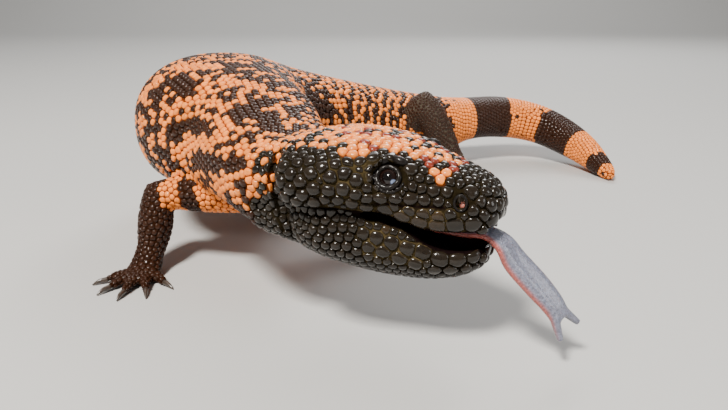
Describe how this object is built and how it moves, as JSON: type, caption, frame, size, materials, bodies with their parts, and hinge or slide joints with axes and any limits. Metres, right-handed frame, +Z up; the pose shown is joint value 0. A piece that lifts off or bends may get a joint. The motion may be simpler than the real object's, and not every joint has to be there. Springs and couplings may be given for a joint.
{
  "type": "gila monster",
  "caption": "Still life-size gila monster, standing with its body bent round, head low and forked tongue out, beaded salmon and black.",
  "frame": {"origin": "middle of the bounding box in plan, on the floor that the belly, soles and tail tip rest on", "axes": "+Z up; +Y from the near side, where the head looks out, to the far side, where the hips are; +X from the bend of the trunk to the tail's bend"},
  "size_m": [0.2524, 0.2988, 0.078],
  "materials": {
    "salmon": "satin",
    "black": "gloss",
    "eye": "gloss",
    "claw": "satin",
    "tongue": "satin"
  },
  "bodies": {
    "root": {"eye_left": "eye", "eye_right": "eye", "foreleg_left_claw_1": "claw", "foreleg_left_claw_2": "claw", "foreleg_left_claw_3": "claw", "foreleg_left_claw_4": "claw", "foreleg_left_claw_5": "claw", "foreleg_left_foot": "black", "foreleg_left_lower": "black", "foreleg_left_upper": "black", "foreleg_right_claw_1": "claw", "foreleg_right_claw_2": "claw", "foreleg_right_claw_3": "claw", "foreleg_right_claw_4": "claw", "foreleg_right_claw_5": "claw", "foreleg_right_foot": "black", "foreleg_right_lower": "black", "foreleg_right_upper": "salmon", "head": "black", "hindleg_left_claw_1": "claw", "hindleg_left_claw_2": "claw", "hindleg_left_claw_3": "claw", "hindleg_left_claw_4": "claw", "hindleg_left_claw_5": "claw", "hindleg_left_foot": "black", "hindleg_left_lower": "black", "hindleg_left_upper": "black", "hindleg_right_claw_1": "claw", "hindleg_right_claw_2": "claw", "hindleg_right_claw_3": "claw", "hindleg_right_claw_4": "claw", "hindleg_right_claw_5": "claw", "hindleg_right_foot": "black", "hindleg_right_lower": "black", "hindleg_right_upper": "black", "jaw": "black", "neck": "salmon", "pelvis": "salmon", "tail_1_base": "salmon", "tail_2_black": "black", "tail_3_salmon": "salmon", "tail_4_black": "black", "tail_5_salmon": "salmon", "tail_6_tip": "black", "tongue": "tongue", "torso_front": "salmon", "torso_middle": "salmon", "torso_rear": "salmon"}
  },
  "joints": []
}
